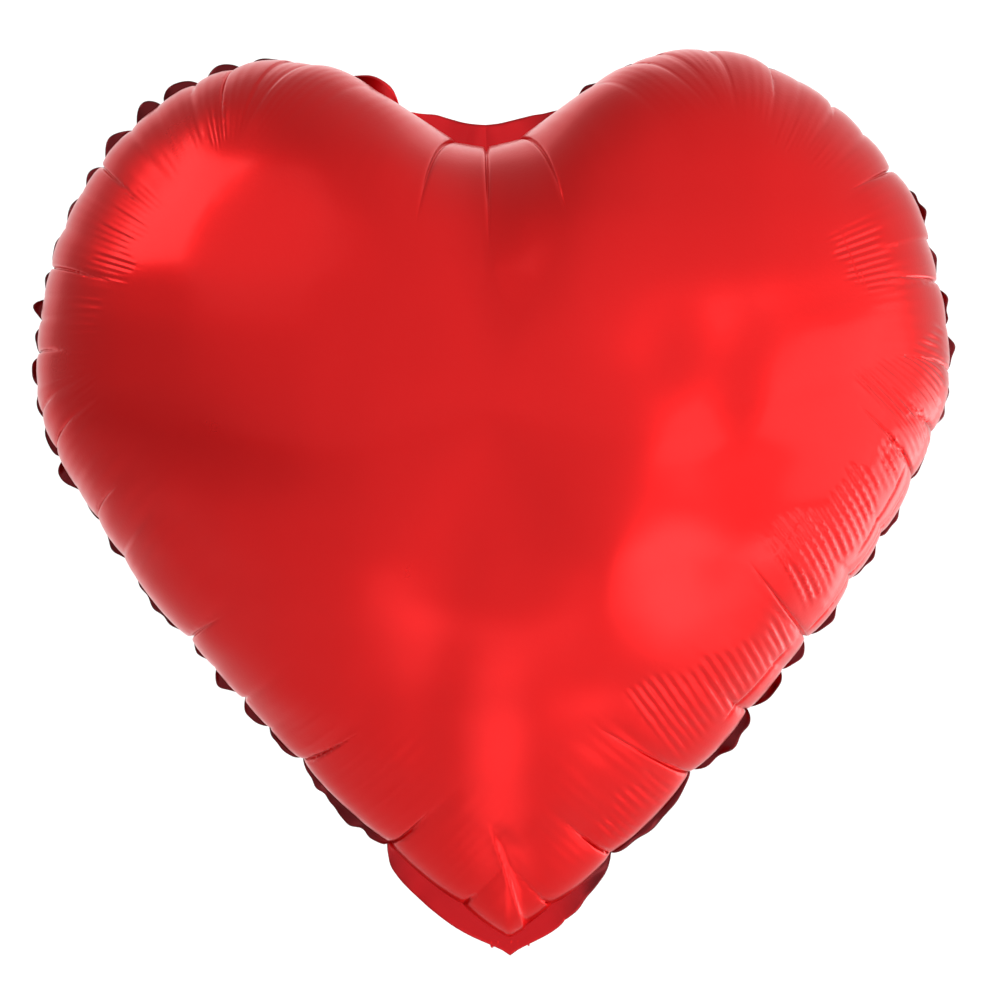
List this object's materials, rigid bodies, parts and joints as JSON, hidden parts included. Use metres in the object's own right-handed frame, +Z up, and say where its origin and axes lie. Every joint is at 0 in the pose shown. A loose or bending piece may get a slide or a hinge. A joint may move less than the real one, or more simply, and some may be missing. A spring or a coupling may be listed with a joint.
{
  "type": "foil balloon",
  "caption": "Heart-shaped foil balloon, inflated: two welded film panels, a puckered edge seam, and a folding filling neck with a flat valve.",
  "frame": {"origin": "the heart's tip, in the plane of the seam, where a ribbon is tied round the gathered root of the filling neck", "axes": "+Z up from the tip to the cleft, the front panel faces -Y, +Y goes through the balloon from front to back, and X runs across the lobes"},
  "size_m": [0.376, 0.178, 0.37],
  "materials": {
    "red_foil": "satin",
    "red_foil_seam": "satin",
    "valve_film": "satin",
    "release_print": "matte"
  },
  "bodies": {
    "envelope": {"front_panel": "red_foil", "back_panel": "red_foil", "edge_seam": "red_foil_seam", "valve_front_film": "valve_film", "valve_back_film": "valve_film", "valve_side_welds": "valve_film", "valve_release_print": "release_print"},
    "neck": {"neck_front_ply": "red_foil", "neck_back_ply": "red_foil", "neck_side_seams": "red_foil_seam", "neck_fold_gather": "red_foil", "inlet_front_film": "valve_film", "inlet_back_film": "valve_film"}
  },
  "joints": [
    {"name": "neck_fold", "type": "hinge", "parent": "envelope", "child": "neck", "pos_m": [0, 0.0024, 0.006], "axis": [-1, 0, 0], "range_deg": [0, 138]}
  ]
}
